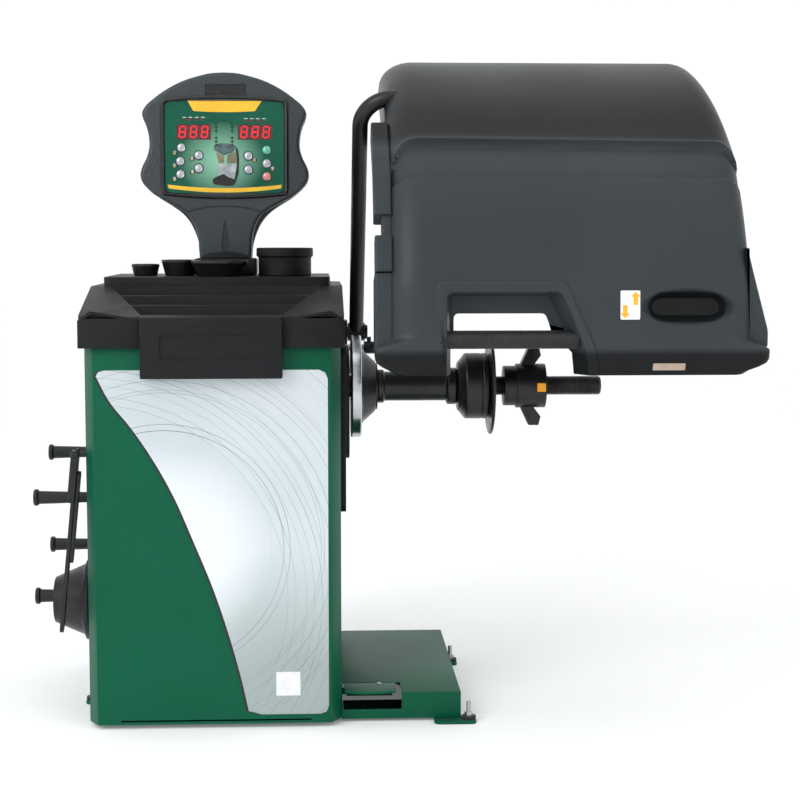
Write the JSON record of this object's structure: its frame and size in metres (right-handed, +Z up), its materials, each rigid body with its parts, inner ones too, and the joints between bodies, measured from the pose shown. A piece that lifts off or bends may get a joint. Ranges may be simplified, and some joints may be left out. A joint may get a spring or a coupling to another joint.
{
  "type": "wheel balancer machine",
  "caption": "Floor-standing wheel balancer with a swinging hood, threaded spindle, foot brake, weight tray and display head.",
  "frame": {"origin": "on the floor, under the middle of the whole machine's bounding box", "axes": "+X along the spindle from the cabinet to the wheel side, +Y to the rear, +Z up"},
  "size_m": [1.243, 0.71, 1.18],
  "materials": {
    "green_paint": "semi-gloss powder coat",
    "tray_plastic": "fine grain, satin",
    "hood_plastic": "smooth satin",
    "black_steel": "satin black",
    "bright_steel": "turned, bright",
    "frame_steel": "grey primer",
    "motor_iron": "painted",
    "belt_rubber": "matt",
    "orange_plastic": "gloss",
    "panel_film": "printed film",
    "red_lens": "dark red lens",
    "key_silver": "silver dome",
    "circuit_board": "solder mask",
    "switch_plastic": "gloss"
  },
  "bodies": {
    "root": {"anchor_bolts": "bright_steel", "base_platform": "green_paint", "cabinet_shell": "green_paint", "digit_windows": "red_lens", "display_board": "circuit_board", "display_panel": "panel_film", "drive_belt": "belt_rubber", "drive_motor": "motor_iron", "foot_plates": "green_paint", "force_sensors": "bright_steel", "head_front_shell": "tray_plastic", "head_rear_shell": "tray_plastic", "hood_bracket": "black_steel", "panel_screws": "bright_steel", "power_board": "circuit_board", "power_inlet": "tray_plastic", "rear_panel": "green_paint", "rubber_washers": "belt_rubber", "spindle_bearings": "bright_steel", "spindle_cover": "tray_plastic", "spindle_housing": "frame_steel", "storage_pegs": "black_steel", "support_frame": "frame_steel", "weight_tray": "tray_plastic"},
    "spindle": {"spindle_shaft": "bright_steel", "wheel_flange": "bright_steel", "hub_cone": "black_steel", "adapter_sleeve": "black_steel", "driven_pulley": "bright_steel", "encoder_disc": "frame_steel"},
    "motor_shaft": {"motor_pulley": "bright_steel"},
    "nut": {"quick_nut": "black_steel"},
    "nut_button": {"release_button": "orange_plastic"},
    "cup": {"pressure_cup": "black_steel", "cup_plate": "black_steel"},
    "hood": {"hood_shell": "hood_plastic", "hood_arm": "black_steel"},
    "pedal": {"brake_pedal": "green_paint"},
    "rod": {"brake_rod": "bright_steel"},
    "lever": {"brake_lever": "black_steel"},
    "gauge": {"gauge_rod": "bright_steel"},
    "gauge_tip": {"gauge_head": "black_steel"},
    "small_cone": {"small_cone": "black_steel"},
    "medium_cone": {"medium_cone": "black_steel"},
    "large_cone": {"large_cone": "black_steel"},
    "big_cup": {"big_cup": "tray_plastic"},
    "peg_cone": {"peg_cone": "black_steel"},
    "caliper": {"caliper_arm": "black_steel"},
    "pointer": {"caliper_pointer": "black_steel"},
    "rocker": {"power_switch": "switch_plastic"},
    "key_left_top": {"key_left_top": "key_silver"},
    "key_left_middle": {"key_left_middle": "key_silver"},
    "key_left_bottom": {"key_left_bottom": "key_silver"},
    "key_inner_left_top": {"key_inner_left_top": "key_silver"},
    "key_inner_left_bottom": {"key_inner_left_bottom": "key_silver"},
    "key_inner_right_top": {"key_inner_right_top": "key_silver"},
    "key_inner_right_bottom": {"key_inner_right_bottom": "key_silver"},
    "key_right_top": {"key_right_top": "key_silver"},
    "key_right_middle": {"key_right_middle": "key_silver"},
    "key_right_bottom": {"key_right_bottom": "key_silver"}
  },
  "joints": [
    {"name": "hood_swing", "type": "hinge", "parent": "root", "child": "hood", "pos_m": [-0.038, 0.3, 0.665], "axis": [-1, 0, 0], "range_deg": [0, 70]},
    {"name": "spindle_spin", "type": "hinge", "parent": "root", "child": "spindle", "pos_m": [0, 0.08, 0.576], "axis": [1, 0, 0], "continuous": true},
    {"name": "motor_spin", "type": "hinge", "parent": "root", "child": "motor_shaft", "pos_m": [-0.39, 0.08, 0.38], "axis": [1, 0, 0], "continuous": true},
    {"name": "nut_slide", "type": "slide", "parent": "spindle", "child": "nut", "axis": [1, 0, 0], "range_m": [0, 0.28]},
    {"name": "button_push", "type": "slide", "parent": "nut", "child": "nut_button", "axis": [0, 1, 0], "range_m": [0, 0.003], "stiffness_N_per_m": 800},
    {"name": "cup_slide", "type": "slide", "parent": "spindle", "child": "cup", "axis": [1, 0, 0], "range_m": [0, 0.28]},
    {"name": "pedal_press", "type": "hinge", "parent": "root", "child": "pedal", "pos_m": [0, -0.075, 0.04], "axis": [1, 0, 0], "range_deg": [0, 8], "stiffness_Nm_per_rad": 60, "springref_deg": -2.86},
    {"name": "rod_lift", "type": "slide", "parent": "root", "child": "rod", "axis": [0, 0, 1], "range_m": [0, 0.009]},
    {"name": "lever_turn", "type": "hinge", "parent": "root", "child": "lever", "pos_m": [0, 0.17, 0.48], "axis": [-1, 0, 0], "range_deg": [0, 2.8]},
    {"name": "gauge_draw", "type": "slide", "parent": "root", "child": "gauge", "axis": [1, 0, 0], "range_m": [0, 0.23]},
    {"name": "gauge_swivel", "type": "hinge", "parent": "gauge", "child": "gauge_tip", "pos_m": [-0.015, 0.235, 0.638], "axis": [1, 0, 0], "range_deg": [0, 90]},
    {"name": "small_cone_lift", "type": "slide", "parent": "root", "child": "small_cone", "axis": [0, 0, 1], "range_m": [0, 0.06]},
    {"name": "medium_cone_lift", "type": "slide", "parent": "root", "child": "medium_cone", "axis": [0, 0, 1], "range_m": [0, 0.06]},
    {"name": "large_cone_lift", "type": "slide", "parent": "root", "child": "large_cone", "axis": [0, 0, 1], "range_m": [0, 0.06]},
    {"name": "big_cup_lift", "type": "slide", "parent": "root", "child": "big_cup", "axis": [0, 0, 1], "range_m": [0, 0.06]},
    {"name": "peg_cone_off", "type": "slide", "parent": "root", "child": "peg_cone", "axis": [-0.9946, 0, 0.1034], "range_m": [0, 0.11]},
    {"name": "caliper_off", "type": "slide", "parent": "root", "child": "caliper", "axis": [-1, 0, 0], "range_m": [0, 0.03]},
    {"name": "pointer_turn", "type": "hinge", "parent": "caliper", "child": "pointer", "pos_m": [-0.53304, -0.128, 0.4382], "axis": [0.9949, 0, -0.1011], "range_deg": [0, 18]},
    {"name": "rocker_tip", "type": "hinge", "parent": "root", "child": "rocker", "pos_m": [-0.43, 0.325, 0.155], "axis": [1, 0, 0], "range_deg": [0, 16]},
    {"name": "key_left_top_press", "type": "slide", "parent": "root", "child": "key_left_top", "axis": [0, 1, 0], "range_m": [0, 0.0005], "stiffness_N_per_m": 600},
    {"name": "key_left_middle_press", "type": "slide", "parent": "root", "child": "key_left_middle", "axis": [0, 1, 0], "range_m": [0, 0.0005], "stiffness_N_per_m": 600},
    {"name": "key_left_bottom_press", "type": "slide", "parent": "root", "child": "key_left_bottom", "axis": [0, 1, 0], "range_m": [0, 0.0005], "stiffness_N_per_m": 600},
    {"name": "key_inner_left_top_press", "type": "slide", "parent": "root", "child": "key_inner_left_top", "axis": [0, 1, 0], "range_m": [0, 0.0005], "stiffness_N_per_m": 600},
    {"name": "key_inner_left_bottom_press", "type": "slide", "parent": "root", "child": "key_inner_left_bottom", "axis": [0, 1, 0], "range_m": [0, 0.0005], "stiffness_N_per_m": 600},
    {"name": "key_inner_right_top_press", "type": "slide", "parent": "root", "child": "key_inner_right_top", "axis": [0, 1, 0], "range_m": [0, 0.0005], "stiffness_N_per_m": 600},
    {"name": "key_inner_right_bottom_press", "type": "slide", "parent": "root", "child": "key_inner_right_bottom", "axis": [0, 1, 0], "range_m": [0, 0.0005], "stiffness_N_per_m": 600},
    {"name": "key_right_top_press", "type": "slide", "parent": "root", "child": "key_right_top", "axis": [0, 1, 0], "range_m": [0, 0.0005], "stiffness_N_per_m": 600},
    {"name": "key_right_middle_press", "type": "slide", "parent": "root", "child": "key_right_middle", "axis": [0, 1, 0], "range_m": [0, 0.0005], "stiffness_N_per_m": 600},
    {"name": "key_right_bottom_press", "type": "slide", "parent": "root", "child": "key_right_bottom", "axis": [0, 1, 0], "range_m": [0, 0.0005], "stiffness_N_per_m": 600}
  ],
  "couplings": [
    {"joint": "motor_spin", "follows": "spindle_spin", "ratio": 3.5},
    {"joint": "cup_slide", "follows": "nut_slide", "ratio": 1},
    {"joint": "rod_lift", "follows": "pedal_press", "m_per_rad": 0.06},
    {"joint": "lever_turn", "follows": "pedal_press", "ratio": 0.32}
  ]
}
